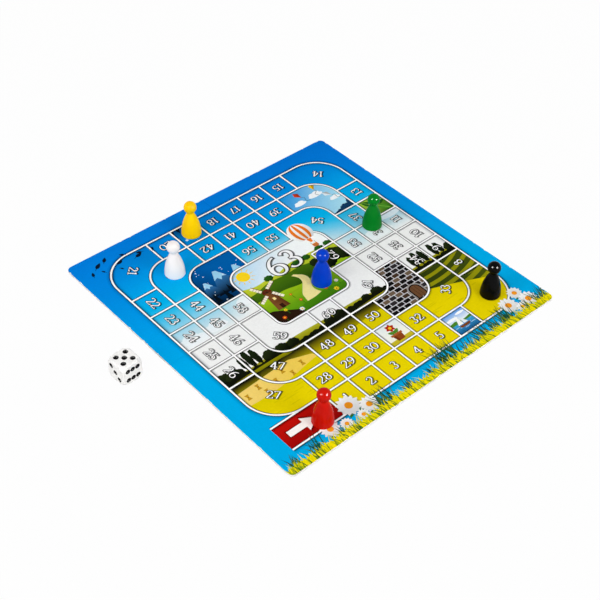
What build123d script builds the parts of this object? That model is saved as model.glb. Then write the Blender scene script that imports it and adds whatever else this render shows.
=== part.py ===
from build123d import *
import os
from math import cos, radians, sin

# A square game board in four quarters that folds twice, six moulded pawns standing on it and a die
# beside it. Millimetres. The origin is the middle of the board on its underside, +Z is up, and +X
# runs to the right along the board's front edge.

# Board
board_side = 210.0
board_corner_radius = 3.5
core_thickness = 1.1
print_thickness = 0.2
liner_thickness = 0.2
panel_gap = 0.4
crease_width = 2.0

# Pawns, all from one mould
pawn_height = 25.0
pawn_base_diameter = 12.8
pawn_foot_diameter = 12.2
pawn_foot_height = 0.6
pawn_belly_height = 9.8
pawn_belly_diameter = 10.0
pawn_neck_diameter = 4.5
pawn_neck_length = 1.2
pawn_neck_radius = 0.5
pawn_head_diameter = 8.1
pawn_rim_width = 1.6
pawn_core_depth = 13.0
pawn_core_tip_diameter = 3.4

# Die
die_edge = 14.0
die_ball_diameter = 20.3
die_edge_radius = 1.2
die_corner_radius = 0.5
die_turn = 3.1
pip_diameter = 3.2
pip_depth = 1.1
pip_pitch = 3.3
paint_thickness = 0.15
paint_drop = 0.05

# Where the loose pieces stand, as shares of the board's side, from its middle
pawn_place_shares = {
    "red": (-0.3205, -0.4150),
    "yellow": (-0.1219, 0.3940),
    "green": (0.3210, 0.0698),
    "blue": (0.0330, -0.0195),
    "white": (-0.2682, 0.2821),
    "black": (0.3680, -0.3706),
}
die_place_shares = (-0.6065, 0.0485)

# Heights of the board's layers
core_bottom = liner_thickness
print_bottom = core_bottom + core_thickness
board_top = print_bottom + print_thickness

# Distances from the board's middle lines
edge_reach = board_side / 2
gap_reach = panel_gap / 2
crease_reach = crease_width / 2

# The four quarters, by the signs of their X and Y
quarter_sides = {
    "front_left": (-1, -1),
    "front_right": (1, -1),
    "back_left": (-1, 1),
    "back_right": (1, 1),
}


def quarter_sheet(sides, inner_x, inner_y, bottom, thickness):
    """One layer of a quarter, from its two inner edges out to the board's rounded corner."""
    side_x, side_y = sides
    middle_x = side_x * (inner_x + edge_reach) / 2
    middle_y = side_y * (inner_y + edge_reach) / 2
    with BuildPart() as sheet:
        with BuildSketch(Plane.XY.offset(bottom)) as outline:
            with Locations((middle_x, middle_y)):
                Rectangle(edge_reach - inner_x, edge_reach - inner_y)
            corner = outline.vertices().sort_by(lambda v: side_x * v.X + side_y * v.Y)[-1]
            fillet(corner, board_corner_radius)
        extrude(amount=thickness)
    return sheet.part


def crease_strip(low, high, bottom, thickness):
    """The stretch of sheet that bridges two panels along a fold."""
    with BuildPart() as strip:
        with BuildSketch(Plane.XY.offset(bottom)):
            with Locations(((low[0] + high[0]) / 2, (low[1] + high[1]) / 2)):
                Rectangle(high[0] - low[0], high[1] - low[1])
        extrude(amount=thickness)
    return strip.part


def pawn_at(place):
    """A pawn standing on the board: a round head on a necked, bellied cone, cored out from below."""
    upright = Plane(origin=(*place, board_top), x_dir=(1, 0, 0), z_dir=(0, -1, 0))
    axis = Axis((*place, board_top), (0, 0, 1))
    base_radius = pawn_base_diameter / 2
    head_radius = pawn_head_diameter / 2
    neck_radius = pawn_neck_diameter / 2
    head_height = pawn_height - head_radius
    neck_top = head_height - (head_radius**2 - neck_radius**2) ** 0.5
    neck_bottom = neck_top - pawn_neck_length
    core_mouth = base_radius - pawn_rim_width
    with BuildPart() as pawn:
        with BuildSketch(upright):
            with BuildLine():
                sole = Line((0, 0), (pawn_foot_diameter / 2, 0))
                foot = Line(sole @ 1, (base_radius, pawn_foot_height))
                belly = ThreePointArc(
                    foot @ 1,
                    (pawn_belly_diameter / 2, pawn_belly_height),
                    (neck_radius, neck_bottom),
                )
                neck = Line(belly @ 1, (neck_radius, neck_top))
                head = ThreePointArc(
                    neck @ 1, (head_radius, head_height), (0, pawn_height)
                )
                Line(head @ 1, (0, 0))
            make_face()
        revolve(axis=axis)
        neck_ends = pawn.edges().filter_by(Plane.XY).sort_by(Axis.Z)[-2:]
        fillet(neck_ends, pawn_neck_radius)
        with BuildSketch(upright):
            with BuildLine():
                Polyline(
                    (0, 0),
                    (core_mouth, 0),
                    (pawn_core_tip_diameter / 2, pawn_core_depth),
                    (0, pawn_core_depth),
                    close=True,
                )
            make_face()
        revolve(axis=axis, mode=Mode.SUBTRACT)
    return pawn.part


def pip_places(count):
    """Where the pips of one face lie, from the middle of the face."""
    low = (-pip_pitch, -pip_pitch)
    high = (pip_pitch, pip_pitch)
    other_diagonal = [(-pip_pitch, pip_pitch), (pip_pitch, -pip_pitch)]
    places = [(0, 0)] if count % 2 else []
    if count > 1:
        places += [low, high]
    if count > 3:
        places += other_diagonal
    if count == 6:
        places += [(-pip_pitch, 0), (pip_pitch, 0)]
    return places


# The board's quarters: lining underneath, greyboard, printed sheet on top
pieces = {}
for quarter, sides in quarter_sides.items():
    print_inner_x = crease_reach if quarter.startswith("front") else gap_reach
    pieces["liner_" + quarter] = quarter_sheet(
        sides, gap_reach, crease_reach, 0, liner_thickness
    )
    pieces["core_" + quarter] = quarter_sheet(
        sides, gap_reach, gap_reach, core_bottom, core_thickness
    )
    pieces["print_" + quarter] = quarter_sheet(
        sides, print_inner_x, gap_reach, print_bottom, print_thickness
    )

# The creases: the face sheet carries the front fold, the lining carries the two side folds
pieces["front_crease"] = crease_strip(
    (-crease_reach, -edge_reach), (crease_reach, -gap_reach), print_bottom, print_thickness
)
pieces["left_crease"] = crease_strip(
    (-edge_reach, -crease_reach), (-gap_reach, crease_reach), 0, liner_thickness
)
pieces["right_crease"] = crease_strip(
    (gap_reach, -crease_reach), (edge_reach, crease_reach), 0, liner_thickness
)

# The pawns
for colour, shares in pawn_place_shares.items():
    pieces["pawn_" + colour] = pawn_at([share * board_side for share in shares])

# The die, lying beside the board on the same table, five up
die_x, die_y = [share * board_side for share in die_place_shares]
die_across = Vector(cos(radians(die_turn)), sin(radians(die_turn)), 0)
die_along = Vector(-sin(radians(die_turn)), cos(radians(die_turn)), 0)
die_up = Vector(0, 0, 1)
die_middle = Vector(die_x, die_y, die_edge / 2)
die_plane = Plane(origin=die_middle, x_dir=die_across, z_dir=die_up)
face_counts = [
    (die_up, die_across, 5),
    (-die_up, die_across, 2),
    (-die_across, die_up, 3),
    (die_across, die_along, 4),
    (-die_along, die_up, 6),
    (die_along, die_across, 1),
]
pip_ball_radius = ((pip_diameter / 2) ** 2 + pip_depth**2) / (2 * pip_depth)
pip_ball_reach = die_edge / 2 + pip_ball_radius - pip_depth

# A cube with rounded edges, whose corners are cut round by a ball
with BuildPart() as die_body:
    with Locations(die_plane):
        Box(die_edge, die_edge, die_edge)
    fillet(die_body.edges(), die_edge_radius)
    with Locations(die_plane):
        Sphere(die_ball_diameter / 2, mode=Mode.INTERSECT)
    corner_rims = die_body.edges().filter_by(GeomType.LINE, reverse=True)
    fillet(corner_rims, die_corner_radius)
    for outward, sideways, count in face_counts:
        centre = die_middle + outward * pip_ball_reach
        with Locations(Plane(origin=centre, x_dir=sideways, z_dir=outward)):
            with Locations(*pip_places(count)):
                Sphere(pip_ball_radius, mode=Mode.SUBTRACT)
pieces["die_body"] = die_body.part

# The paint lines each pip as a thin dished skin that ends a little below the face
with BuildPart() as die_pips:
    for outward, sideways, count in face_counts:
        centre = die_middle + outward * pip_ball_reach
        with Locations(Plane(origin=centre, x_dir=sideways, z_dir=outward)):
            with Locations(*pip_places(count)):
                Sphere(pip_ball_radius)
    for outward, sideways, count in face_counts:
        centre = die_middle + outward * (pip_ball_reach + paint_thickness)
        with Locations(Plane(origin=centre, x_dir=sideways, z_dir=outward)):
            with Locations(*pip_places(count)):
                Sphere(pip_ball_radius, mode=Mode.SUBTRACT)
    with Locations(die_plane):
        painted_edge = die_edge - 2 * paint_drop
        Box(painted_edge, painted_edge, painted_edge, mode=Mode.INTERSECT)
pieces["die_pips"] = die_pips.part

os.makedirs("parts", exist_ok=True)
for name, piece in pieces.items():
    piece.label = name
    export_step(piece, f"parts/{name}.step")
    print(name, len(piece.solids()), round(piece.volume, 1))
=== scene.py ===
"""Looks for a folding board game: a printed board in four quarters, six pawns and a die."""
import random
from math import atan2, cos, degrees, hypot, pi, radians, sin, tan

import bpy
from mathutils import Matrix, Vector
from mathutils.geometry import delaunay_2d_cdt


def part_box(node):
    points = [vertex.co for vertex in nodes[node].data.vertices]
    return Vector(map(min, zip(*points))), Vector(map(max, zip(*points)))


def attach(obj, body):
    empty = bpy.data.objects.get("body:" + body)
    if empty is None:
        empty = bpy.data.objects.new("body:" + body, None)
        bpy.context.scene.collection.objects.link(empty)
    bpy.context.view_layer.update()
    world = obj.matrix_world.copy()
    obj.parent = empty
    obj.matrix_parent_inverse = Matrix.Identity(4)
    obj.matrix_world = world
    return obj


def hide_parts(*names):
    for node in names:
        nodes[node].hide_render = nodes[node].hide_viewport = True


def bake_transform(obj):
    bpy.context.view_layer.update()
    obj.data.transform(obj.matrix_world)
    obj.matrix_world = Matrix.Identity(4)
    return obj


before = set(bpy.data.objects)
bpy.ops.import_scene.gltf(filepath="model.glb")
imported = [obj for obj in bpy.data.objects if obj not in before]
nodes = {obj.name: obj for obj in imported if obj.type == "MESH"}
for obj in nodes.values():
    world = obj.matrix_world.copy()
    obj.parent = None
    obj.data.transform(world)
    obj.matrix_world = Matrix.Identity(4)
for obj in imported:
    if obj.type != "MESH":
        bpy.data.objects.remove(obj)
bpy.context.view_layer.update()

# The artwork is drawn in millimetres from the middle of the board, X to the right and Y to the back
MM = 0.001
HALF = 105.0
BOARD_CORNER = 3.5
PITCH = 18.4
GRID_X = 0.7
GRID_Y = 0.3
START_LEFT = -92.8
SHADE = 0.5
WHITE = (250, 250, 250)

# Radius of the track's corners, ring by ring from the outside; ring 0 stands for a sharp corner
ring_radius = (0, 22.5, 17.5, 13, 10.5, 5.5)

chance = random.Random(63)
spread = chance.uniform
pick = chance.choice


# Plane geometry
def grid(i, j):
    """A crossing of the track's ruled lines, counted from the front left."""
    return (GRID_X + (i - 5) * PITCH, GRID_Y + (j - 5) * PITCH)


def arc(x, y, radius_x, radius_y, start, end, steps):
    """Points along an elliptical arc, from one angle to the other in degrees."""
    turns = [radians(start + (end - start) * k / steps) for k in range(steps + 1)]
    return [(x + radius_x * cos(t), y + radius_y * sin(t)) for t in turns]


def ellipse(x, y, radius_x, radius_y, steps=24):
    return arc(x, y, radius_x, radius_y, 0, 360 * (steps - 1) / steps, steps - 1)


def rectangle(low, high):
    return [low, (high[0], low[1]), high, (low[0], high[1])]


def moved(points, x, y, turn=0.0, size=1.0):
    """Points scaled, turned by an angle in degrees and carried to a place."""
    c = cos(radians(turn)) * size
    s = sin(radians(turn)) * size
    return [(x + c * px - s * py, y + s * px + c * py) for px, py in points]


def rounded(corners, closed=True):
    """A path of (point, radius) corners with its corners rounded."""
    path = []
    count = len(corners)
    for k, (point, radius) in enumerate(corners):
        if not radius or (not closed and k in (0, count - 1)):
            path.append(point)
            continue
        here = Vector(point)
        back = (Vector(corners[k - 1][0]) - here).normalized()
        onward = (Vector(corners[(k + 1) % count][0]) - here).normalized()
        half_angle = back.angle(onward) / 2
        middle = here + (back + onward).normalized() * radius / sin(half_angle)
        first = here + back * radius / tan(half_angle) - middle
        last = here + onward * radius / tan(half_angle) - middle
        start = degrees(atan2(first.y, first.x))
        sweep = (degrees(atan2(last.y, last.x)) - start + 180) % 360 - 180
        steps = max(6, int(abs(sweep) * radius / 90))
        path += arc(middle.x, middle.y, radius, radius, start, start + sweep, steps)
    return path


def turning(stops):
    """Corners for a rounded path, from crossings of the grid and the ring on which each turns."""
    return [(grid(i, j), ring_radius[ring]) for i, j, ring in stops]


def sides(path, half_width, closed=False):
    """The left and right edges of a pen stroke; half_width(normal) is half the stroke there."""
    left = []
    right = []
    count = len(path)
    for k, (x, y) in enumerate(path):
        before = path[k - 1] if closed or k else path[k]
        after = path[(k + 1) % count] if closed or k < count - 1 else path[k]
        along_x = after[0] - before[0]
        along_y = after[1] - before[1]
        size = hypot(along_x, along_y)
        normal = (-along_y / size, along_x / size)
        reach = half_width(normal)
        left.append((x + normal[0] * reach, y + normal[1] * reach))
        right.append((x - normal[0] * reach, y - normal[1] * reach))
    return left, right


def band(path, width):
    """A stroke of even width along an open path."""
    left, right = sides(path, lambda normal: width / 2)
    return left + right[::-1]


def blob(x, y, radius_x, radius_y, bumps, depth):
    """A rounded bushy outline."""
    steps = 40
    phase = spread(0, 6)
    points = []
    for k in range(steps):
        t = 2 * pi * k / steps
        swell = 1 + depth * sin(bumps * t + phase) + depth * 0.5 * sin(2.3 * bumps * t)
        points.append((x + radius_x * swell * cos(t), y + radius_y * swell * sin(t)))
    return points


def star(x, y, radius, points=5, inner=0.42):
    outline = []
    for k in range(2 * points):
        t = radians(90 + 180 * k / points)
        reach = radius if k % 2 == 0 else radius * inner
        outline.append((x + reach * cos(t), y + reach * sin(t)))
    return outline


def leaf(x, y, length, width, turn):
    upper = [(length * t, width * sin(pi * t**0.8)) for t in (0, 0.2, 0.4, 0.6, 0.8, 1)]
    lower = [(px, -py) for px, py in upper[-2:0:-1]]
    return moved(upper + lower, x, y, turn)


def ridge(low, top, left=-97, right=97, count=97):
    """A strip of ground with a rolling top edge, right across the track unless told otherwise."""
    places = [left + (right - left) * k / count for k in range(count, -1, -1)]
    return [(left, low), (right, low)] + [(x, top(x)) for x in places]


# The printed shapes, lowest first
shapes = []


def box_of(points):
    """The low X, low Y, high X and high Y of points."""
    xs, ys = zip(*points)
    return min(xs), min(ys), max(xs), max(ys)


def turned_left(points):
    """The points in anticlockwise order."""
    area = sum(a[0] * b[1] - a[1] * b[0] for a, b in zip(points, points[1:] + points[:1]))
    return points if area > 0 else points[::-1]


def add(outline, colour, clip=None, alpha=1.0, holes=(), group=None, fade=None):
    """Prints a shape over those before it and returns its number. A fade is (colour, from, to), and
    clip is the number of a shape to stay inside. Shapes of one group that overlap count once."""
    loops = [turned_left(outline)] + [turned_left(hole) for hole in holes]
    shape = {
        "loops": loops,
        "box": box_of(outline),
        "colour": colour and linear(colour),
        "alpha": alpha,
        "within": () if clip is None else (clip, *shapes[clip]["within"]),
        "group": group,
        "fade": fade and (linear(fade[0]), Vector(fade[1]), Vector(fade[2])),
    }
    shapes.append(shape)
    return len(shapes) - 1


def linear(colour):
    """An sRGB colour, 0 to 255, as linear light."""
    shares = [c / 255 for c in colour]
    return tuple(s / 12.92 if s <= 0.04045 else ((s + 0.055) / 1.055) ** 2.4 for s in shares)


# The track's outline, inside which its own sky and ground are printed
outside = [(10, 0, 1), (10, 10, 1), (0, 10, 1), (0, 1, 1)]
field = add(rounded(turning([(2, 0, 0), *outside, (2, 1, 0)])), None)

# The track's wall, one line that winds from the start to the middle
start_low = (START_LEFT, grid(0, 0)[1])
start_high = grid(2, 1)
inside = [(9, 1, 2), (9, 9, 2), (1, 9, 2), (1, 2, 2), (8, 2, 3), (8, 8, 3), (2, 8, 3), (2, 3, 3)]
inside += [(7, 3, 4), (7, 7, 4), (3, 7, 4), (3, 4, 5), (6, 4, 5), (6, 6, 0)]
wall_path = rounded([(start_low, 0)] + turning(outside + inside), closed=False)
outer_wall = rounded([(start_low, 0)] + turning([*outside, (2, 1, 0)]), closed=False)
start_top = [(START_LEFT, grid(0, 1)[1]), (grid(1.22, 1)[0], grid(0, 1)[1])]

# Dividers between the fields, those of the rows first, then those of the columns
dividers = []
for j, first, end in ((0, 2, 9), (9, 2, 9), (1, 2, 8), (8, 3, 8), (2, 3, 7), (7, 4, 7), (3, 4, 6)):
    dividers += [[grid(i, j), grid(i, j + 1)] for i in range(first, end)]
for i, first, end in ((9, 2, 9), (0, 3, 9), (8, 3, 8), (1, 4, 8), (7, 4, 7), (2, 5, 7), (6, 5, 7)):
    dividers += [[grid(i, j), grid(i + 1, j)] for j in range(first, end)]

# A soft shadow that the wall throws on the border
for width, alpha in ((6, 0.10), (4.4, 0.16), (3.2, 0.26)):
    add(band(outer_wall, width), (4, 40, 92), alpha=alpha)

# Ground behind the track: a far slope, poplars and bushes along a hedge, then ploughland and meadow
slope = ridge(-70, lambda x: -30.5 + 1.6 * sin(x / 24 + 2.4) + 0.5 * sin(x / 8.5))
add(slope, (172, 172, 40), field, fade=((140, 138, 0), (0, -29), (0, -34)))
poplars = [(-73, 10.5), (-68.5, 13), (-64, 11), (62, 9), (66.5, 11), (71, 9.5), (80, 10), (84.5, 8.5)]
for x, height in poplars:
    crown = blob(x, -32 + height / 2, 2.2, height / 2 + 1, 7, 0.06)
    add(crown, (24, 36, 14), field, fade=((12, 18, 8), (x - 2, -22), (x + 2, -30)))
bushes = [(-90, 8), (-82, 6.5), (-56, 6), (-48, 5), (-40, 4), (-12, 3.6), (-4, 4.4)]
bushes += [(18, 3.4), (27, 4.4), (92, 5.5)]
for x, size in bushes:
    crown = blob(x, -32, size, size * 0.9, 8, 0.05)
    add(crown, (34, 44, 16), field, fade=((14, 20, 8), (x - 1, -27), (x + 2, -32)))
hedge = ridge(
    -70,
    lambda x: -33.2 + sin(x / 19 + 1) + 0.9 * abs(sin(x / 2.3)) + 0.6 * abs(sin(x / 1.3 + 1)),
    count=323,
)
add(hedge, (16, 20, 8), field)
verge = ridge(-75, lambda x: -35.4 + 0.8 * sin(x / 15 - 0.6))
add(verge, (150, 146, 6), field, fade=((96, 96, 8), (0, -35), (0, -38)))
plough = ridge(-75, lambda x: -37.2 + 0.7 * sin(x / 26 - 0.6) + 0.4 * abs(sin(x / 3.1)))
add(plough, (22, 24, 10), field, fade=((212, 194, 2), (0, -38.5), (0, -51)))
wheat = [((-96, -43), 0), ((-52, -40.5), 3), ((-34, -47), 3), ((-42, -54), 4), ((-97, -60), 0)]
ripe = ((236, 202, 84), (-80, -42), (-60, -54))
wheat = add(rounded(wheat), (242, 210, 112), field, fade=ripe)
for x, y in ((-87, -48), (-78, -45.5), (-76, -51.5), (-67, -48.5), (-60, -44.5), (-56, -50), (-47, -47)):
    sheaf = [(-1.5, -2.2), (1.5, -2.2), (0.5, 0), (1.4, 2), (-1.4, 2), (-0.5, 0)]
    add(moved(sheaf, x, y), (196, 146, 34), wheat)
    add(band([(x - 0.6, y), (x + 0.6, y)], 0.5), (120, 78, 16), wheat)
terraces = [(30, -37.4), (96, -36.8), (96, -76), (78, -64), (56, -54), (40, -46)]
terraces = add(terraces, (40, 52, 12), field, fade=((66, 80, 16), (50, -38), (88, -66)))
for k in range(7):
    step = arc(62, -16, 34 + 9 * k, 21 + 6.2 * k, 195, 345, 30)
    add(band(step, 2.4 + 0.2 * k), (150, 150, 14), terraces, 0.9)
meadow = ridge(-96, lambda x: -49.5 - 4.5 * sin(x / 31 + 4.4) + 0.5 * sin(x / 9) - 0.3 * max(0, x - 44))
add(meadow, (218, 200, 2), field, fade=((231, 210, 2), (0, -52), (0, -66)))
for k in range(60):
    x = spread(-90, 90)
    y = spread(-72, -56)
    add(ellipse(x, y, spread(2, 6), 0.35, 10), (190, 174, 0), field, 0.35, group="mown")


def cloud(x, y, size, puffs, steps):
    """The round heaps of a cloud, each given as shares of its size: its place and its reach."""
    return [
        ellipse(x + dx * size, y + dy * size, rx * size, ry * size, steps)
        for dx, dy, rx, ry in puffs
    ]


# Clouds in the sky over the hills
puffs = ((0, 0, 1.6, 0.5), (-0.7, 0.3, 0.7, 0.5), (0.1, 0.55, 0.8, 0.62), (0.9, 0.25, 0.6, 0.42))
for x, y, size in ((-84, 4, 7), (-66, 6, 5), (84, 16, 6), (66, 6, 7), (-38, 12, 5)):
    for puff in cloud(x, y, size, puffs, 24):
        add(puff, (246, 249, 252), field, 0.62, group=f"cloud {x}")


def cell(i, j):
    """The outline of one plain field."""
    return rectangle(grid(i, j), grid(i + 1, j + 1))


def corner_cell(i, j, turn_x, turn_y, ring):
    """The outline of a field that goes round a corner of the track, between a ring and the next."""
    end_i = i + 2 * turn_x
    end_j = j + 2 * turn_y
    stops = [(end_i, j, 0), (i, j, ring), (i, end_j, 0)]
    stops += [(i + turn_x, end_j, 0), (i + turn_x, j + turn_y, ring + 1), (end_i, j + turn_y, 0)]
    return rounded(turning(stops))


def paint(x, y, clip, *pieces):
    """Prints the plain pieces of a picture, each an outline about its middle and a colour."""
    for outline, colour in pieces:
        add(moved(outline, x, y), colour, clip)


# Field 6: a boat on a lake
x, y = grid(7.5, 0.5)
lake = add(cell(7, 0), (40, 140, 226), fade=((236, 246, 250), (x, y + 9), (x, y)))
add(ellipse(x - 4, y + 3.6, 4.5, 1.1, 16), (250, 252, 253), lake)
add(ellipse(x + 4.5, y + 5.6, 3.6, 0.9, 16), (250, 252, 253), lake)
shore = [(-10, -1.4), (10, -1), (10, 1.2), (3, 0.2), (-4, 1.6), (-10, 0.6)]
paint(x, y, lake, (shore, (70, 130, 40)))
water = rectangle((x - 10, y - 10), (x + 10, y - 1.1))
add(water, (60, 160, 214), lake, fade=((12, 70, 130), (x, y - 1), (x, y - 9)))
for k in range(5):
    add(ellipse(x - 6 + 3 * k, y - 3.4 - 1.1 * (k % 3), 2.2, 0.22, 10), (190, 224, 240), lake, 0.8)
paint(
    x, y, lake,
    ([(-0.2, -2.6), (-0.2, 5.2), (-4.2, -2.4)], (248, 248, 244)),
    ([(0.3, -2.6), (3.4, -2.5), (0.3, 4)], (226, 232, 236)),
    ([(-4.6, -3), (4.4, -3), (3, -4.8), (-3.4, -4.8)], (120, 64, 28)),
)

# Field 12: broad leaves
x, y = grid(9.5, 6.5)
grove = add(cell(9, 6), (150, 190, 60), fade=((40, 104, 24), (x - 6, y + 6), (x + 6, y - 6)))
tones = {20: (26, 84, 22), 75: (60, 130, 30), 130: (34, 98, 26), 200: (18, 66, 24), 310: (70, 140, 36)}
for turn, tone in tones.items():
    start = moved([(1, 0)], x, y, turn)[0]
    add(leaf(*start, 9.5, 2.5, turn), tone, grove)
    vein = [moved([(k, 0)], *start, turn)[0] for k in (0.5, 8.5)]
    add(band(vein, 0.3), (150, 200, 80), grove)

# Field 19: stars over a dark wood
x, y = grid(3.5, 9.5)
dusk = add(cell(3, 9), (4, 60, 120), fade=((0, 128, 214), (x, y + 9), (x, y - 4)))
for dx, size in ((-8, 4), (-4, 5.5), (0, 4.4), (4.5, 6), (8.5, 4.5)):
    add([(x + dx - 2, y + 10), (x + dx + 2, y + 10), (x + dx, y + 9.2 - size)], (8, 22, 40), dusk)
for dx, dy, size in ((-5, -4, 1.3), (2, -6, 0.9), (6, -2, 1.2), (-1, -1.5, 0.8)):
    add(star(x + dx, y + dy, size), (236, 240, 244), dusk)

# Field 31: a flower in a pot
x, y = grid(5.5, 1.5)
sill = add(cell(5, 1), (226, 234, 236), fade=((250, 246, 224), (x, y + 9), (x, y - 9)))
add(rectangle((x - 10, y - 10), (x + 10, y - 5.2)), (196, 180, 40), sill)
add(band([(x, y - 1), (x + 0.3, y + 4)], 0.8), (60, 110, 30), sill)
for turn in (150, 30):
    add(leaf(x, y - 0.6, 4.6, 1.3, turn), (78, 134, 36), sill)
for k in range(6):
    add(leaf(x + 0.3, y + 4.2, 3.4, 1.15, 60 * k + 15), (176, 40, 20), sill)
add(ellipse(x + 0.3, y + 4.2, 1.1, 1.1, 14), (240, 190, 40), sill)
paint(
    x, y, sill,
    ([(-3.6, -1.4), (-2.5, -6.8), (2.5, -6.8), (3.6, -1.4)], (140, 66, 26)),
    (rectangle((-4.2, -2.4), (4.2, -0.9)), (166, 84, 36)),
    ([(-3.3, -2.4), (-2.3, -6.8), (-0.9, -6.8), (-1.5, -2.4)], (110, 48, 18)),
)

# Field 38: kites
pale = ((170, 226, 246), grid(7.2, 8.8), grid(8.7, 7.5))
kite_sky = add(corner_cell(9, 9, -1, -1, 2), (0, 146, 222), fade=pale)
puffs = ((0, 0, 1.6, 0.5), (-0.6, 0.35, 0.7, 0.5), (0.4, 0.45, 0.8, 0.55))
for i, j, size in ((7.5, 8.25, 3), (8.25, 8.3, 3.6), (8.7, 7.75, 2.6)):
    for puff in cloud(*grid(i, j), size, puffs, 18):
        add(puff, (246, 250, 252), kite_sky)
for i, j, tone, tilt in (
    (7.7, 8.7, (206, 60, 30), 20),
    (8.45, 8.75, (240, 190, 30), -15),
    (8.6, 8.1, (230, 240, 246), 35),
):
    x, y = grid(i, j)
    for outline, shade in (
        ([(0, 3.4), (-2.2, 0.6), (0, -3.6)], 1),
        ([(0, 3.4), (0, -3.6), (2.2, 0.6)], 0.75),
    ):
        add(moved(outline, x, y, tilt), tuple(c * shade for c in tone), kite_sky)
    tail = [(1.1 * sin(k * 0.9), -3.6 - 0.8 * k) for k in range(9)]
    add(band(moved(tail, x, y, tilt), 0.3), (40, 60, 90), kite_sky)
x, y = grid(9, 7)
for dx, dy, rx, ry in ((-2, 0, 7, 4.5), (-10, -1, 8, 4), (-6, 1.2, 5, 4.2), (1, 3.5, 4, 6)):
    add(blob(x + dx, y + dy, rx, ry, 9, 0.06), (20, 58, 96), kite_sky, group="far trees")

# Field 51: a stone wall with an arched door
stone = add(corner_cell(8, 2, -1, 1, 3), (196, 196, 200))
low = grid(6, 2)
tones = [(14, 12, 12), (30, 26, 26), (8, 7, 8), (64, 46, 32), (104, 86, 68), (44, 40, 42)]
for row in range(11):
    offset = 2.6 if row % 2 else 0
    for column in range(-1, 8):
        tone = pick(tones)
        x = low[0] + 5.2 * column + offset
        y = low[1] + 3.4 * row
        block = rounded([(p, 0.5) for p in rectangle((x + 0.3, y + 0.3), (x + 4.9, y + 3.1))])
        add(block, tone, stone, group="stones")
x, y = grid(7.45, 2.32)
for size, tone in ((5.4, (150, 146, 142)), (4.4, (24, 20, 20)), (3.5, (104, 70, 44))):
    door = [(x + size, y - 4), (x + size, y + 3)] + arc(x, y + 3, size, size, 0, 180, 14)
    door += [(x - size, y + 3), (x - size, y - 4)]
    add(door, tone, stone)
for k in (-1.2, 1.2):
    add(band([(x + k, y - 4), (x + k, y + 6)], 0.25), (54, 34, 22), stone)

# Field 57: snowy peaks under stars
dark = ((2, 10, 22), grid(3.2, 7.4), grid(2.1, 6.1))
night = add(corner_cell(2, 8, 1, -1, 3), (0, 92, 168), fade=dark)
for i, j, size in ((2.9, 7.05, 13), (3.6, 7, 10), (2.3, 6.9, 9)):
    x, y = grid(i, j)
    peak = moved([(-0.8, -1), (0.8, -1), (0.12, 0.55), (-0.05, 0.6)], x, y, size=size)
    add(peak, (44, 104, 160), night, fade=((4, 14, 28), (x, y), (x, y - 0.9 * size)))
    snow = [(-0.05, 0.6), (-0.34, 0), (-0.12, 0.1), (0, -0.12), (0.14, 0.08), (0.36, 0), (0.12, 0.55)]
    add(moved(snow, x, y, size=size), (150, 204, 232), night)
for k in range(26):
    x, y = grid(spread(2.05, 3.95), spread(6.05, 7.95))
    add(star(x, y, spread(0.35, 0.9), 4, 0.35), (224, 238, 250), night)
for i, j, size in ((2.2, 6.3, 4), (2.6, 6.15, 5), (2.85, 6.4, 4)):
    x, y = grid(i, j)
    for k in range(3):
        half = size * (0.55 - 0.12 * k)
        foot = y - 3 + k * size * 0.5
        tier = [(x - half, foot), (x + half, foot), (x, y - 1 + (k + 1) * size * 0.55)]
        add(tier, (4, 16, 26), night, group="firs")

# The middle: a windmill on a meadow
middle_stops = [(3, 4, 5), (6, 4, 5), (6, 5, 0), (7, 5, 0), (7, 7, 4), (3, 7, 4)]
haze = ((246, 250, 250), grid(3, 7), grid(4.6, 5.6))
middle = add(rounded(turning(middle_stops)), (150, 206, 240), fade=haze)
x, y = grid(3.5, 6.6)
for k in range(12):
    add(moved([(5.2, -0.45), (8, 0), (5.2, 0.45)], x, y, 30 * k), (250, 206, 40), middle)
add(ellipse(x, y, 4.4, 4.4, 28), (252, 214, 30), middle)


def hill(row, waves, colour, faded):
    """Rolling ground inside the middle picture, its top about a row of the grid."""
    base = grid(0, row)[1]
    left, low = grid(2.9, 3.9)
    right = grid(7.1, 0)[0]
    outline = ridge(low, lambda x: base + sum(a * sin(x / b + c) for a, b, c in waves), left, right, 46)
    add(outline, colour, middle, fade=(faded, (0, base), (0, base - 14)))


def crowns(places, bumps, depth, rise, colour, faded):
    """Round trees in the middle picture, darker to the lower right."""
    for i, j, size in places:
        x, y = grid(i, j)
        crown = blob(x, y, size, size * 0.8, bumps, depth)
        add(crown, colour, middle, fade=(faded, (x - 2, y + rise), (x + 2, y - 3)))


def patch(places, sharp, radius, colour):
    """A patch of ground in the middle picture, with all but the sharp corners rounded."""
    corners = [(grid(*place), 0 if k in sharp else radius) for k, place in enumerate(places)]
    add(rounded(corners), colour, middle)


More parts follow.
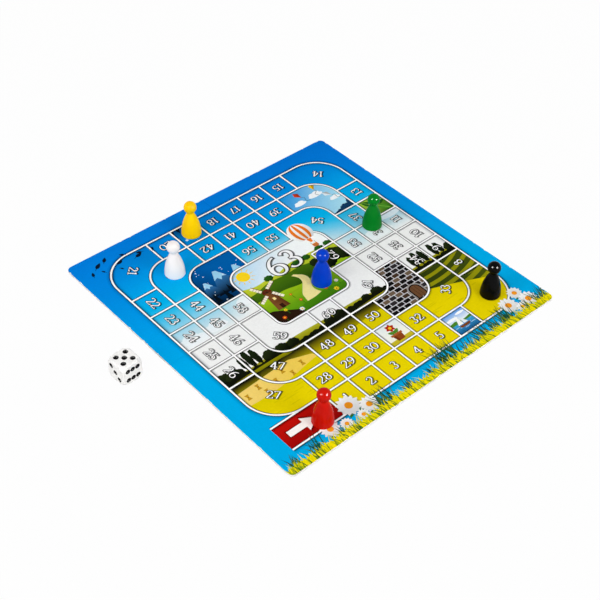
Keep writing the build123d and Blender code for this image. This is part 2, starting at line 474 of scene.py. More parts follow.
far = ((4.1, 6, 3.2), (5.3, 5.95, 3.8), (5.75, 6, 3), (6.4, 6.05, 3.6), (6.8, 6.1, 3))
near = ((6.15, 5.35, 6.5), (6.55, 5.55, 7.5), (6.95, 5.4, 7), (5.85, 5.6, 4.5))
lane = [(4.3, 4), (5.2, 4), (4.9, 4.7), (5.25, 5.3), (4.85, 5.62), (4.75, 5.6), (4.98, 5.3), (4.45, 4.7)]
soil = [(2.9, 3.9), (4.1, 3.9), (4, 4.2), (3.6, 4.45), (3.2, 4.7), (2.9, 4.75)]
hill(6.05, ((1.6, 9, 0.5), (0.5, 3.1, 1)), (196, 206, 50), (150, 176, 30))
crowns(far, 8, 0.06, 2, (40, 96, 24), (20, 60, 16))
hill(5.75, ((1.3, 11, 2.5), (0.6, 4, 0)), (70, 112, 14), (36, 74, 12))
hill(5.2, ((1.8, 13, 4.2), (0.4, 3, 0)), (150, 190, 24), (88, 150, 18))
patch(lane, (0, 1, 4, 5), 6, (240, 226, 150))
crowns(near, 9, 0.05, 3, (30, 44, 14), (8, 12, 6))
hill(4.35, ((1, 7, 1.2), (0.4, 2.6, 0)), (70, 132, 16), (40, 92, 12))
patch(soil, (0, 1, 5), 4, (40, 24, 14))
x, y = grid(3.62, 5.05)
hub = y + 8.6
tower = moved([(-4.6, -8), (4.6, -8), (2.7, 8), (-2.7, 8)], x, y)
add(tower, (122, 74, 38), middle, fade=((84, 46, 22), (x - 1, y), (x + 4, y)))
add(arc(x, y + 8, 3.3, 3.4, 0, 180, 14), (92, 34, 20), middle)
paint(
    x, y, middle,
    (rectangle((-1.3, -8), (1.3, -4)), (50, 28, 16)),
    (rectangle((-0.9, 0.6), (0.9, 2.8)), (248, 226, 150)),
)
sail = [(1, -0.25), (10.5, -0.25), (10.5, 2.3), (3, 2.3), (3, 0.25), (1, 0.25)]
for turn in (28, 118, 208, 298):
    add(moved(sail, x, hub, turn), (244, 236, 214), middle)
    for step in (4.8, 6.6, 8.4):
        add(band(moved([(step, -0.2), (step, 2.3)], x, hub, turn), 0.25), (120, 84, 50), middle)
    add(band(moved([(0, 0), (10.8, 0)], x, hub, turn), 0.5), (90, 54, 30), middle)
add(ellipse(x, hub, 0.9, 0.9, 14), (60, 34, 20), middle)


def flower(x, y, radius, petals, colour, heart, clip=None):
    """A flower seen from the front."""
    shaded = tuple(c * 0.86 for c in colour)
    for k in range(petals):
        petal = leaf(x, y, radius, radius * 0.3, 360 * k / petals + 10)
        add(petal, colour, clip, fade=(shaded, (x, y + radius), (x, y - radius)))
    add(ellipse(x, y, radius * 0.32, radius * 0.32, 16), heart, clip)


bed = [(3.3, 4.25, 1.6), (3.55, 4.5, 1.3), (4, 4.2, 1.8), (4.25, 4.55, 1.3), (5.25, 4.45, 1.5)]
bed += [(5.5, 4.2, 1.9), (5.75, 4.5, 1.5), (5.6, 4.85, 1.3), (4.15, 4.95, 1.1)]
for k, (i, j, size) in enumerate(bed):
    x, y = grid(i, j)
    add(band([(x, y), (x + 0.4, y - 4)], 0.35), (40, 100, 20), middle)
    tone = [(226, 80, 30), (250, 216, 40), (246, 240, 236), (210, 40, 40)][k % 4]
    flower(x, y, size, 8, tone, (250, 200, 30) if k % 4 != 1 else (150, 90, 20), middle)

# The start tile, with an arrow
shaded = ((150, 8, 6), (0, start_high[1]), (0, start_low[1]))
tile = add(rectangle(start_low, start_high), (196, 18, 10), fade=shaded)
add(rectangle((START_LEFT, start_high[1] - 2.2), start_high), (60, 0, 0), tile, 0.35)
x = START_LEFT + 5
y = grid(0, 0.5)[1]
for grow, tone, alpha in ((0.7, (70, 0, 0), 0.7), (0, (250, 246, 242), 1)):
    half = [(x - grow, 2.1, grow), (x + 11.5, 2.1, grow), (x + 11.5, 5.2, 2 * grow)]
    lower = [(px, y - py - rim) for px, py, rim in half]
    upper = [(px, y + py + rim) for px, py, rim in half]
    add(lower + [(x + 20 + 1.6 * grow, y)] + upper[::-1], tone, tile, alpha)

# Ruled lines: a soft shade to the front right, a dark rim, then the white line
for layer, width, shift, tone, alpha in (
    ("shade", 2.2, SHADE, (4, 10, 20), 0.4),
    ("rim", 2, 0, (6, 8, 12), 0.95),
    ("face", 1.15, 0, WHITE, 1),
):
    for path in [wall_path, start_top] + dividers:
        add(moved(band(path, width), shift, -shift), tone, alpha=alpha, group="line " + layer)

# Numerals drawn with a broad pen: their widths, open strokes and closed rings
widths = dict(zip("0123456789", (0.76, 0.44, 0.7, 0.62, 0.74, 0.64, 0.7, 0.66, 0.68, 0.7)))
rings = {
    "0": [(0.38, 0.5, 0.3, 0.44)],
    "6": [(0.36, 0.29, 0.26, 0.26)],
    "8": [(0.34, 0.74, 0.19, 0.2), (0.34, 0.275, 0.25, 0.25)],
}
strokes = {
    "1": [[(0.22, 0.02), (0.22, 0.96)], [(0.07, 0.8), (0.22, 0.93)], [(0.06, 0.03), (0.38, 0.03)]],
    "2": [
        arc(0.33, 0.71, 0.24, 0.25, 165, -35, 14) + [(0.08, 0.07)],
        [(0.06, 0.05), (0.62, 0.05)], [(0.6, 0.03), (0.64, 0.17)],
    ],
    "3": [arc(0.29, 0.745, 0.2, 0.215, 150, -90, 14), arc(0.28, 0.28, 0.26, 0.25, 90, -150, 16)],
    "4": [
        [(0.48, 0.95), (0.07, 0.31)], [(0.04, 0.3), (0.7, 0.3)],
        [(0.48, 0.97), (0.48, 0.02)], [(0.35, 0.03), (0.61, 0.03)],
    ],
    "5": [
        [(0.15, 0.93), (0.54, 0.93)], [(0.17, 0.95), (0.13, 0.52)],
        arc(0.29, 0.3, 0.27, 0.27, 128, -150, 18),
    ],
    "6": [arc(0.62, 0.32, 0.53, 0.62, 97, 180, 12)],
    "7": [[(0.05, 0.93), (0.62, 0.93)], [(0.58, 0.95), (0.24, 0.02)], [(0.07, 0.95), (0.06, 0.82)]],
}

# A nine is a six turned over
strokes["9"] = [[(widths["6"] - px, 1 - py) for px, py in path] for path in strokes["6"]]
rings["9"] = [(widths["6"] - px, 1 - py, rx, ry) for px, py, rx, ry in rings["6"]]

PEN_WIDE = 0.068
PEN_NARROW = 0.032
LETTER_GAP = 0.05


def pen(grow):
    """Half the stroke's width for each direction, with the pen grown all round."""
    return lambda normal: hypot((PEN_WIDE + grow) * normal[0], (PEN_NARROW + grow) * normal[1])


def lengthened(path, reach):
    """An open path with both ends drawn out."""
    first = Vector(path[0]) + (Vector(path[0]) - Vector(path[1])).normalized() * reach
    last = Vector(path[-1]) + (Vector(path[-1]) - Vector(path[-2])).normalized() * reach
    return [tuple(first)] + path[1:-1] + [tuple(last)]


def write(number, i, j, turn, height, rim=0.07):
    """Prints a number in white with a dark rim and a shade, centred on a place of the grid."""
    middle_x, middle_y = grid(i, j)
    advances = [widths[c] + LETTER_GAP for c in str(number)]
    layers = (
        ("shade", rim, (10, 14, 20), 0.75, SHADE),
        ("rim", rim, (12, 14, 18), 0.92, 0),
        ("face", 0, WHITE, 1, 0),
    )
    for layer, grow, tone, alpha, shift in layers:
        x = middle_x + shift
        y = middle_y - shift
        pen_x = -(sum(advances) - LETTER_GAP) / 2
        for c, advance in zip(str(number), advances):
            drawn = []
            for path in strokes.get(c, ()):
                left, right = sides(lengthened(path, grow), pen(grow))
                drawn.append([left + right[::-1]])
            for ring in rings.get(c, ()):
                left, right = sides(ellipse(*ring, 28), pen(grow), closed=True)
                drawn.append([right, left])
            for loops in drawn:
                outer, *holes = [
                    moved([(px + pen_x, py - 0.5) for px, py in loop], x, y, turn, height)
                    for loop in loops
                ]
                add(outer, tone, alpha=alpha, holes=holes, group="number " + layer)
            pen_x += advance


# Straight runs of the track: first and last number, cell of the first, way that the numbers face
NUMBER_HEIGHT = 5.9
ways = {0: (1, 0), 90: (0, 1), 180: (-1, 0), -90: (0, -1)}
runs = [
    (1, 5, 2, 0, 0), (8, 13, 9, 2, 90), (15, 20, 7, 9, 180), (22, 26, 0, 7, -90),
    (28, 32, 2, 1, 0), (34, 37, 8, 3, 90), (39, 42, 6, 8, 180), (44, 46, 1, 6, -90),
    (48, 50, 3, 2, 0), (52, 53, 7, 4, 90), (55, 56, 5, 7, 180), (58, 58, 2, 5, -90),
    (60, 60, 4, 3, 0), (62, 62, 6, 5, 90),
]
pictured = (12, 19, 31)
placed = []
for first, last, i, j, turn in runs:
    step_x, step_y = ways[turn]
    for k in range(last - first + 1):
        if first + k not in pictured:
            placed.append((first + k, i + 0.5 + k * step_x, j + 0.5 + k * step_y, turn))
placed += [
    (7, 9.1, 0.88, 45), (14, 9.12, 9.17, 135), (21, 0.9, 9.19, 225), (27, 0.88, 1.97, -45),
    (33, 8.2, 1.85, 45), (43, 1.8, 8.25, 225), (47, 1.75, 2.8, -45), (54, 7.33, 7.2, 135),
    (59, 2.65, 3.73, -45), (61, 6.4, 3.7, 45),
]
for number, i, j, turn in placed:
    write(number, i, j, turn, NUMBER_HEIGHT)
write(63, 4.97, 6.3, 0, 17.3, rim=0.04)

# A balloon over the corner of the middle picture
x, y = grid(6.45, 7.1)
orange = (236, 120, 30)
cream = (248, 248, 246)
shaded = ((206, 210, 214), (x - 2, y + 3), (x + 7, y - 7))
balloon = add(ellipse(x, y, 8.2, 9.2, 40), cream, fade=shaded)
for reach, tone in ((5.6, orange), (3.2, cream), (1.2, orange)):
    shaded = (tuple(c * 0.85 for c in tone), (x, y + 4), (x + 5, y - 8))
    add(ellipse(x, y, reach, 9.2, 32), tone, balloon, fade=shaded)
paint(
    x, y, None,
    ([(-4.6, -7.7), (4.6, -7.7), (1.9, -11.6), (-1.9, -11.6)], (250, 250, 248)),
    ([(-1.8, -7.9), (1.8, -7.9), (0.8, -11.6), (-0.8, -11.6)], orange),
)
for k in (-1, 1):
    add(band([(x + 1.8 * k, y - 11.6), (x + 1.4 * k, y - 13.6)], 0.25), (90, 60, 40))
basket = rectangle((x - 2, y - 16.6), (x + 2, y - 13.4))
add(rounded([(p, 0.6) for p in basket]), (196, 110, 50))
add(band([(x - 2, y - 13.7), (x + 2, y - 13.7)], 0.6), (236, 150, 70))

# Dark leaves blown across the back left of the border
blown = [
    (-96, 88, 4.2, 70), (-91, 93, 6, 35), (-88, 87, 3, 120), (-84, 95, 5, 50), (-74, 90, 5.2, 200),
    (-70, 93, 3.6, 140), (-66, 86.5, 5.5, 15), (-60, 88.5, 4.2, 160), (-54, 85.5, 3.4, 60),
    (-79, 84.5, 2.6, 300),
]
for x, y, size, turn in blown:
    add(leaf(x, y, size, size * 0.24, turn), (10, 24, 44))
    stem = moved([(-size * 0.25, -0.1), (0.3, 0)], x, y, turn)
    add(band(stem, 0.3), (10, 24, 44))

# Daisies beside the start and in the front right corner
daisies = [(-68, -94, 6.2), (-58.5, -97, 4.2), (-49, -88, 7.6), (-39.5, -94.5, 6), (-47, -98, 4)]
daisies += [(78, -92, 6.6), (89, -87, 5.2), (92, -95.5, 6.4), (84, -98, 4.2)]
for x, y, size in daisies:
    for turn in (215, 325):
        add(leaf(x, y - size * 0.5, size * 0.9, size * 0.16, turn), (50, 110, 36))
    add(ellipse(x + 0.3, y - 0.5, size * 0.9, size * 0.9, 24), (90, 104, 118), alpha=0.35)
    flower(x, y, size, 13, (247, 247, 246), (238, 150, 30))

# Grass along the front edge
GRASS_FOOT = -105.5
TURF_REACH = HALF + 1
TURF_TOP = -100.8
TURF_STEPS = 200


def blade(x, height, lean, width, colour, alpha=1):
    """One tapering blade of grass that springs from the front edge."""
    left = []
    right = []
    for t in (0, 0.35, 0.7):
        mid_x = x + lean * t * t
        mid_y = GRASS_FOOT + height * t
        left.append((mid_x - width * (1 - t * t) / 2, mid_y))
        right.append((mid_x + width * (1 - t * t) / 2, mid_y))
    add(right + [(x + lean, GRASS_FOOT + height)] + left[::-1], colour, alpha=alpha)


turf = [(-TURF_REACH, -TURF_REACH), (TURF_REACH, -TURF_REACH)]
for k in range(TURF_STEPS + 1):
    x = TURF_REACH - 2 * TURF_REACH * k / TURF_STEPS
    notch = 1.4 if k % 2 else -0.6
    turf.append((x, TURF_TOP + notch + spread(-0.6, 0.6)))
tones = [(38, 66, 26), (58, 88, 26), (86, 108, 30), (28, 54, 34), (20, 84, 60)]
tufts = [(-99, 7, 4, 14), (-83, 9, 5, 17), (-66, 5, 3, 13), (-31, 14, 6, 20), (-12, 7, 4, 15)]
tufts += [(4, 5, 3, 13), (19, 22, 8, 22), (35, 7, 4, 14), (52, 20, 9, 19), (70, 12, 5, 21)]
tufts += [(86, 6, 4, 14), (99, 9, 5, 17)]
for x, blades, reach, tallest in tufts:
    for k in range(2 * blades):
        tone = pick(tones)
        height = tallest * spread(0.55, 1)
        foot = x + spread(-reach, reach)
        lean = spread(-6, 6)
        blade(foot, height, lean, spread(0.9, 1.3), tone, 0.92)
add(turf, (222, 208, 10), fade=((240, 222, 4), (0, -99.5), (0, -103)))
tones = [(240, 222, 4), (236, 218, 4), (228, 210, 6), (204, 200, 14), (160, 170, 20), (92, 126, 34)]
count = 380
for k in range(count):
    x = -HALF + 2 * HALF * (k + spread(0, 1)) / count
    tone = pick(tones)
    blade(x, spread(4.5, 10.5), spread(-5, 5), spread(0.6, 1.1), tone)
for k in range(40):
    x = spread(-HALF, HALF)
    tone = pick([(64, 110, 24), (40, 88, 36), (110, 136, 14)])
    blade(x, spread(4, 8), spread(-3, 3), 0.8, tone, 0.85)

# Small nicks where the print has worn to white paper along the edges
for k in range(44):
    along = spread(-103, 103)
    reach = spread(0.25, 0.6)
    length = spread(0.5, 1.8)
    nick = [(along - length, HALF + 1), (along - length, HALF - 0.1), (along, HALF - reach)]
    nick += [(along + length * 0.7, HALF - 0.15), (along + length, HALF + 1)]
    add(moved(nick, 0, 0, 90 * (k % 4)), (244, 244, 240), alpha=0.9)


# Printed sheets
FOLD_REACH = 2
CUT_TOLERANCE = 1e-5
PAPER = (0.86, 0.86, 0.84, 1.0)

# Where a sheet's faces lie in its map: the print, then narrow strips for the rim and the underside
MAP_MARGIN = 0.002
MAP_HEIGHT = 0.996
MAP_PRINT = 0.95
MAP_RIM = 0.957
MAP_UNDER = 0.985
MAP_STRIP = 0.012
RIM_HEIGHT = 0.99
RIM_LEAN = (0.006, 0.004)


def a_fold(first, second):
    """Whether an edge runs along a fold: the same short way from a middle line at both ends."""
    return abs(first - second) < 0.001 and abs(first) < FOLD_REACH


def stand(name, data):
    """A new object in the scene."""
    made = bpy.data.objects.new(name, data)
    bpy.context.scene.collection.objects.link(made)
    return made


def mesh_object(name, verts, faces):
    mesh = bpy.data.meshes.new(name)
    mesh.from_pydata(verts, [], faces)
    return stand(name, mesh)


def printed_sheet(name, outline, bottom, top, rules=()):
    """A closed sheet whose top face is cut along the printed shapes. Each face carries its ink."""
    loops = [turned_left(outline)]
    owners = [None]
    low_x, low_y, high_x, high_y = box_of(outline)
    for number, shape in enumerate(shapes):
        box = shape["box"]
        if box[0] < high_x and box[2] > low_x and box[1] < high_y and box[3] > low_y:
            for k, loop in enumerate(shape["loops"]):
                loops.append(loop)
                owners.append((number, k > 0))
    points = []
    faces = []
    for loop in loops:
        faces.append(list(range(len(points), len(points) + len(loop))))
        points += [Vector(p) for p in loop]
    edges = []
    for first, last in rules:
        edges.append((len(points), len(points) + 1))
        points += [Vector(first), Vector(last)]
    cut = delaunay_2d_cdt(points, edges, faces, 0, CUT_TOLERANCE, True)
    places, _, triangles, _, _, members = cut

    verts = []
    index = {}

    def vertex(k, level):
        if (k, level) not in index:
            index[k, level] = len(verts)
            verts.append((places[k].x * MM, places[k].y * MM, level))
        return index[k, level]

    mesh_faces = []
    face_inks = []
    in_field = []
    spare = {}
    for triangle, inside in zip(triangles, members):
        if 0 not in inside:
            continue
        found = {owners[f][0] for f in inside if f and not owners[f][1]}
        found -= {owners[f][0] for f in inside if f and owners[f][1]}
        layers = []
        for number in sorted(found):
            shape = shapes[number]
            if shape["colour"] is None or not found.issuperset(shape["within"]):
                continue
            if layers and shape["group"] and layers[-1]["group"] == shape["group"]:
                layers[-1] = shape
            else:
                layers.append(shape)
        mesh_faces.append([vertex(k, top) for k in triangle])
        face_inks.append([ink_at(layers, places[k]) for k in triangle])
        in_field.append(float(field in found))
        for a, b in zip(triangle, triangle[1:] + triangle[:1]):
            if spare.pop((b, a), None) is None:
                spare[a, b] = [ink_at(layers, places[b]), ink_at(layers, places[a])], in_field[-1]

    follows = dict(spare.keys())
    for a, b in follows.items():
        mesh_faces.append([vertex(b, top), vertex(a, top), vertex(a, bottom), vertex(b, bottom)])
        inks, zone_share = spare[a, b]
        middle = (places[a] + places[b]) / 2
        on_rim = max(abs(middle.x), abs(middle.y)) > HALF - BOARD_CORNER
        if a_fold(places[a].x, places[b].x) or a_fold(places[a].y, places[b].y):
            on_rim = False
        face_inks.append([PAPER] * 4 if on_rim else inks + inks[::-1])
        in_field.append(0.0 if on_rim else zone_share)
    loop = [next(iter(follows))]
    while follows[loop[-1]] != loop[0]:
        loop.append(follows[loop[-1]])
    mesh_faces.append([vertex(k, bottom) for k in reversed(loop)])
    face_inks.append([PAPER] * len(loop))
    in_field.append(0.0)

    sheet = mesh_object(name, verts, mesh_faces)
    mesh = sheet.data
    ink = mesh.color_attributes.new("ink", "FLOAT_COLOR", "CORNER")
    ink.data.foreach_set("color", [c for face in face_inks for corner in face for c in corner])
    zone = mesh.attributes.new("track_field", "FLOAT", "FACE")
    zone.data.foreach_set("value", in_field)
    place = mesh.attributes.new("place", "FLOAT_VECTOR", "POINT")
    place.data.foreach_set("vector", [c for v in verts for c in v])
    layer = mesh.uv_layers.new(name="OFBake")
    span_x = (high_x - low_x) * MM
    span_y = (high_y - low_y) * MM
    for face in mesh.polygons:
        for corner in face.loop_indices:
            v = verts[mesh.loops[corner].vertex_index]
            u = (v[0] - low_x * MM) / span_x
            w = (v[1] - low_y * MM) / span_y
            upright = MAP_MARGIN + MAP_HEIGHT * w
            if face.normal.z > 0.5:
                spot = (MAP_MARGIN + MAP_PRINT * u, upright)
            elif face.normal.z < -0.5:
                spot = (MAP_UNDER + MAP_STRIP * u, upright)
            else:
                level = (v[2] - bottom) / (top - bottom)
                across = MAP_RIM + MAP_STRIP * level + RIM_LEAN[0] * u
                spot = (across, MAP_MARGIN + RIM_HEIGHT * w + RIM_LEAN[1] * u)
            layer.uv[corner].vector = spot
    return sheet


def ink_at(layers, place):
    """The colour and cover of the inks at a place, the last on top."""
    colour = Vector((0, 0, 0))
    cover = 0.0
    for shape in layers:
        tone = Vector(shape["colour"])
        if shape["fade"]:
            faded, start, end = shape["fade"]
            run = end - start
            share = min(1.0, max(0.0, (place - start).dot(run) / run.length_squared))
            tone = tone.lerp(Vector(faded), share)
        colour = tone * shape["alpha"] + colour * (1 - shape["alpha"])
        cover = shape["alpha"] + cover * (1 - shape["alpha"])
    if cover > 0:
        colour = colour / cover
    return (colour.x, colour.y, colour.z, cover)


# Materials
def node(tree, kind, inputs=None, **settings):
    """A new node with its settings and inputs; an input may be a value or a socket."""
    made = tree.nodes.new("ShaderNode" + kind)
    for key, value in settings.items():
        setattr(made, key, value)
    for key, value in (inputs or {}).items():
        put(made.inputs[key], value)
    return made


def put(socket, value):
    if isinstance(value, bpy.types.NodeSocket):
        socket.id_data.links.new(value, socket)
    else:
        socket.default_value = value


def maths(operation, *values):
    """The result of a Math node over a socket and other values or sockets."""
    tree = values[0].id_data
    return node(tree, "Math", dict(enumerate(values)), operation=operation).outputs[0]


def ramp(value, stops):
    """A colour ramp over stops of (place, sRGB colour)."""
    made = node(value.id_data, "ValToRGB", {"Fac": value})
    elements = made.color_ramp.elements
    while len(elements) < len(stops):
        elements.new(0.5)
    for element, (place, colour) in zip(elements, stops):
        element.position = place
        element.color = (*linear(colour), 1)
    return made.outputs["Color"]


def mix(factor, first, second, blend="MIX"):
    inputs = {0: factor, 6: first, 7: second}
    return node(first.id_data, "Mix", inputs, data_type="RGBA", blend_type=blend).outputs[2]


def between(value, low, high, to_low=0.0, to_high=1.0):
    """A value's share of the way from low to high, drawn onto another range."""
    ends = {"From Min": low, "From Max": high, "To Min": to_low, "To Max": to_high}
    return node(value.id_data, "MapRange", {"Value": value, **ends}).outputs["Result"]


def noise(place, scale, detail=2.0):
    inputs = {"Vector": place, "Scale": scale, "Detail": detail}
    return node(place.id_data, "TexNoise", inputs).outputs["Fac"]


def new_material(name, **sockets):
    material = bpy.data.materials.new(name)
    material.use_nodes = True
    tree = material.node_tree
    shader = tree.nodes["Principled BSDF"]
    for key, value in sockets.items():
        shader.inputs[key.replace("_", " ")].default_value = value
    return material, tree, shader


def finish_surface(shader, colour, rough, height, strength, distance):
    """Puts a colour, a roughness and a bump on a shader."""
    inputs = {"Height": height, "Strength": strength, "Distance": distance}
    bump = node(shader.id_data, "Bump", inputs)
    put(shader.inputs["Base Color"], colour)
    put(shader.inputs["Roughness"], rough)
    put(shader.inputs["Normal"], bump.outputs["Normal"])


# Blues from the front of the board to its back: on the border, and in the sky over the track
BORDER_STOPS = [
    (0.08, (0, 169, 227)), (0.40, (0, 170, 233)), (0.58, (0, 154, 230)), (0.72, (0, 138, 225)),
    (0.88, (0, 124, 220)), (1.0, (0, 116, 214)),
]
SKY_STOPS = [
    (0.50, (240, 241, 240)), (0.545, (200, 226, 234)), (0.58, (160, 214, 234)), (0.62, (104, 202, 236)),
    (0.66, (46, 188, 234)), (0.70, (2, 178, 234)), (0.78, (0, 161, 233)), (0.87, (0, 139, 222)),
    (0.94, (0, 126, 214)),
]


def print_material():
    """Varnished litho print: border and track skies from gradients, the rest from the ink."""
    material, tree, shader = new_material("printed_sheet", Specular_IOR_Level=0.004)
    place = node(tree, "Attribute", attribute_name="place").outputs["Vector"]
    axes = node(tree, "SeparateXYZ", {"Vector": place})
    lean = maths("MULTIPLY_ADD", axes.outputs["X"], 0.15, axes.outputs["Y"])
    border = ramp(between(lean, -0.12, 0.12), BORDER_STOPS)
    centred = node(tree, "Mapping", {"Vector": place, "Location": (0, -0.6, 0), "Scale": (18, 27, 0)})
    glow = node(tree, "TexGradient", {"Vector": centred.outputs["Vector"]}, gradient_type="SPHERICAL")
    raised = maths("MULTIPLY_ADD", glow.outputs["Fac"], -0.033, axes.outputs["Y"])
    sky = ramp(between(raised, -HALF * MM, HALF * MM), SKY_STOPS)
    zone = node(tree, "Attribute", attribute_name="track_field").outputs["Fac"]
    ground = mix(zone, border, sky)
    ink = node(tree, "VertexColor", layer_name="ink")
    inked = mix(ink.outputs["Alpha"], ground, ink.outputs["Color"])
    grain = noise(place, 900)
    speckle = ramp(grain, [(0.3, (244, 244, 244)), (0.7, (255, 255, 255))])
    colour = mix(0.6, inked, speckle, "MULTIPLY")
    smudge = noise(place, 60, 4)
    rough = between(smudge, 0.3, 0.7, 0.36, 0.5)
    inputs = {"Vector": place, "Scale": 420, "Distortion": 0.6}
    threads = [node(tree, "TexWave", inputs, bands_direction=axis).outputs["Fac"] for axis in "XY"]
    linen = maths("MULTIPLY", *threads)
    finish_surface(shader, colour, rough, linen, 0.12, 0.00003)
    return material


def paper_material(name, light, dark, fibre):
    """Board or paper with fibres and small flecks."""
    material, tree, shader = new_material(name, Specular_IOR_Level=0.2)
    place = node(tree, "TexCoord").outputs["Object"]
    stretched = node(tree, "Mapping", {"Vector": place, "Scale": (1, 1, 6)}).outputs["Vector"]
    fibres = noise(stretched, fibre, 6)
    flecks = noise(place, fibre * 3)
    colour = ramp(fibres, [(0.3, dark), (0.62, light)])
    flecked = ramp(flecks, [(0.24, (214, 208, 200)), (0.32, (255, 255, 255))])
    colour = mix(0.5, colour, flecked, "MULTIPLY")
    rough = between(fibres, 0.3, 0.7, 0.72, 0.9)
    finish_surface(shader, colour, rough, fibres, 0.2, 0.00005)
    return material


def plastic_material(name, light, dark, rough=(0.07, 0.09), gloss=0.07):
    """Moulded plastic: slight flow marks in the colour, fine orange peel and scuffs in the gloss."""
    material, tree, shader = new_material(name, Specular_IOR_Level=gloss)
    place = node(tree, "TexCoord").outputs["Object"]
    flow = noise(place, 70, 3)
    colour = ramp(flow, [(0.3, dark), (0.7, light)])
    scuffs = noise(place, 420, 4)
    peel = noise(place, 900, 1)
    finish_surface(shader, colour, between(scuffs, 0.3, 0.7, *rough), peel, 0.03, 0.00005)
    return material


def wear(target, material):
    """Gives an object one material and no other."""
    target.data.materials.clear()
    target.data.materials.append(material)


printed = print_material()
lining = paper_material("lining_paper", (238, 238, 235), (226, 226, 222), 500)
board = paper_material("greyboard", (238, 236, 232), (214, 211, 206), 700)
plastics = {
    "red": ((201, 20, 5), (185, 14, 3)),
    "yellow": ((255, 207, 0), (252, 196, 0)),
    "green": ((0, 125, 34), (0, 112, 29)),
    "blue": ((0, 63, 200), (0, 53, 184)),
    "white": ((244, 238, 235), (238, 232, 230)),
    "black": ((7, 7, 7), (4, 4, 4)),
}
for colour, (light, dark) in plastics.items():
    wear(nodes["pawn_" + colour], plastic_material("plastic_" + colour, light, dark))
die_plastic = plastic_material("die_plastic", (241, 240, 238), (238, 237, 235), (0.2, 0.3), 0.02)
pip_paint = plastic_material("pip_paint", (8, 8, 9), (3, 3, 4), (0.05, 0.07), 0.055)
wear(nodes["die_body"], die_plastic)
wear(nodes["die_pips"], pip_paint)
quarters = ("front_left", "front_right", "back_left", "back_right")
for quarter in quarters:
    wear(nodes["liner_" + quarter], lining)
    wear(nodes["core_" + quarter], board)

# The four printed quarters, each in place of its plain sheet; over the gaps they all but meet
SLIT = 0.12
for quarter in quarters:
    low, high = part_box("print_" + quarter)
    side_x = -1 if quarter.endswith("left") else 1
    side_y = -1 if quarter.startswith("front") else 1
    inner_x = (high.x if side_x < 0 else low.x) / MM
    inner_y = side_y * SLIT / 2
    if side_y > 0:
        inner_x = side_x * SLIT / 2
    outer_x = (low.x if side_x < 0 else high.x) / MM
    outer_y = (low.y if side_y < 0 else high.y) / MM
    corners = [((inner_x, inner_y), 0), ((outer_x, inner_y), 0)]
    corners += [((outer_x, outer_y), BOARD_CORNER), ((inner_x, outer_y), 0)]
    sheet = printed_sheet("sheet_" + quarter, rounded(corners), low.z, high.z)
    wear(sheet, printed)
    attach(sheet, quarter)
    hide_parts("print_" + quarter)

# The front fold, a strip of the printed sheet cut into narrow bands so that it bends
FOLD_BANDS = 10
low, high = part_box("front_crease")
edge_low = (low.x / MM, low.y / MM)
edge_high = (high.x / MM, high.y / MM)
rules = []
for k in range(1, FOLD_BANDS):
    x = edge_low[0] + (edge_high[0] - edge_low[0]) * k / FOLD_BANDS
    rules.append(((x, edge_low[1]), (x, edge_high[1])))
fold = printed_sheet("sheet_front_fold", rectangle(edge_low, edge_high), low.z, high.z, rules)
wear(fold, printed)
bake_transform(fold)
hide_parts("front_crease")


def lining_fold(name, replaced):
    """A strip of lining across a side fold, cut across into narrow bands so that it bends."""
    low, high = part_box(replaced)
    verts = []
    for k in range(FOLD_BANDS + 1):
        y = low.y + (high.y - low.y) * k / FOLD_BANDS
        verts += [(low.x, y, low.z), (high.x, y, low.z), (high.x, y, high.z), (low.x, y, high.z)]
    faces = [(3, 2, 1, 0), tuple(4 * FOLD_BANDS + k for k in range(4))]
    for k in range(FOLD_BANDS):
        for a in range(4):
            b = (a + 1) % 4
            faces.append((4 * k + a, 4 * k + b, 4 * k + 4 + b, 4 * k + 4 + a))
    strip = mesh_object(name, verts, [face[::-1] for face in faces])
    wear(strip, lining)
    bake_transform(strip)
    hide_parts(replaced)


lining_fold("lining_left_fold", "left_crease")
lining_fold("lining_right_fold", "right_crease")

# Stage: a white floor that keeps a trace of the shadows
FLOOR_REACH = 6.0
FLOOR_DROP = 0.0002
FLOOR_WHITE = 0.975
FLOOR_BOUNCE = 0.6
corners = rectangle((-FLOOR_REACH, -FLOOR_REACH), (FLOOR_REACH, FLOOR_REACH))
floor = mesh_object("floor", [(x, y, 0) for x, y in corners], [(0, 1, 2, 3)])
floor.location.z = -FLOOR_DROP
floor_material, tree, shader = new_material("floor_white", Roughness=0.9, Specular_IOR_Level=0.0)
shader.inputs["Base Color"].default_value = (FLOOR_BOUNCE, FLOOR_BOUNCE, FLOOR_BOUNCE, 1)
glow = node(tree, "Emission", {"Color": (1, 1, 1, 1), "Strength": 1.0})

# White for what the camera sees, also in gloss or through glass
ray = node(tree, "LightPath").outputs
seen = maths("MAXIMUM", ray["Is Camera Ray"], ray["Is Glossy Ray"])
seen = maths("MAXIMUM", seen, ray["Is Transmission Ray"])
white_share = maths("MULTIPLY", seen, FLOOR_WHITE)
lit = node(tree, "MixShader", {0: white_share, 1: shader.outputs[0], 2: glow.outputs[0]})
tree.links.new(lit.outputs[0], tree.nodes["Material Output"].inputs["Surface"])
wear(floor, floor_material)

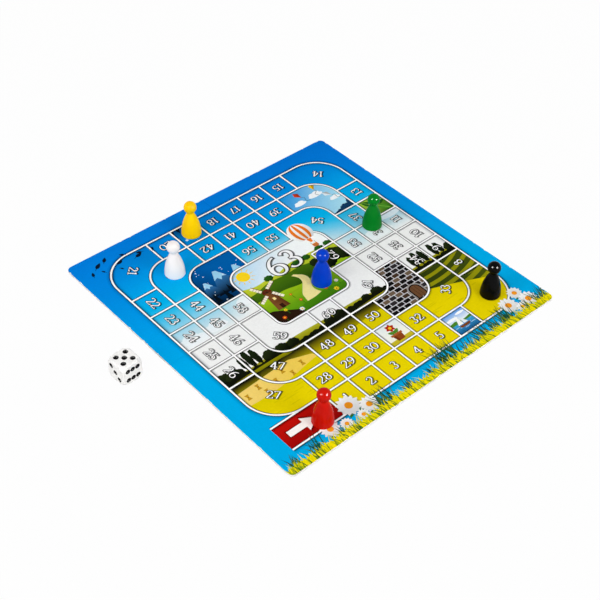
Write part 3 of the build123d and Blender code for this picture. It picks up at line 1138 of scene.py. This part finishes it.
# A white wall all round that dims with its height to a darker ceiling
WALL_TOP = 0.12
CEILING_START = 0.45
CEILING = 0.50
world = bpy.data.worlds.new("studio")
bpy.context.scene.world = world
world.use_nodes = True
tree = world.node_tree
backdrop = tree.nodes["Background"]
backdrop.inputs["Color"].default_value = (1, 1, 1, 1)
direction = node(tree, "TexCoord").outputs["Generated"]
height = node(tree, "SeparateXYZ", {"Vector": direction}).outputs["Z"]
put(backdrop.inputs["Strength"], between(height, WALL_TOP, CEILING_START, 1.0, CEILING))

# The camera stands where the photograph was taken from
camera_place = (-0.360717, -0.388309, 0.488391)
forward = Vector((0.48951, 0.53681, -0.68718))
right = Vector((0.75032, -0.66082, 0.01826))
up = right.cross(forward)
camera_data = bpy.data.cameras.new("camera")
camera_data.lens = 71.16
camera_data.sensor_width = 36.0
camera = stand("camera", camera_data)
basis = Matrix((right, up, -forward)).transposed()
camera.matrix_world = Matrix.Translation(camera_place) @ basis.to_4x4()
bpy.context.scene.camera = camera


def softbox(name, direction, distance, size, power):
    """A square lamp aimed at the board's middle; the direction is in the camera's right, up and back."""
    lamp_data = bpy.data.lights.new(name, "AREA")
    lamp_data.shape = "SQUARE"
    lamp_data.size = size
    lamp_data.energy = power
    lamp = stand(name, lamp_data)
    side, rise, back = Vector(direction).normalized() * distance
    lamp.location = right * side + up * rise - forward * back
    lamp.rotation_euler = (-lamp.location).to_track_quat("-Z", "Y").to_euler()
    return lamp


# Two broad softboxes light the board, and a smaller bright panel in each gives the glints
BOX_DISTANCE = 1.15
BOX_SIZE = 0.6
BOX_POWER = 5.5
GLINT_DISTANCE = 1.05
GLINT_SIZE = 0.42
GLINT_POWER = 65.0
for lamp_name, direction in (("left", (-0.60, 0.10, 0.79)), ("right", (0.68, 0.00, 0.73))):
    softbox("softbox_" + lamp_name, direction, BOX_DISTANCE, BOX_SIZE, BOX_POWER)
    glint = softbox("glint_" + lamp_name, direction, GLINT_DISTANCE, GLINT_SIZE, GLINT_POWER)
    glint.visible_diffuse = False

bpy.context.scene.view_settings.view_transform = "Standard"
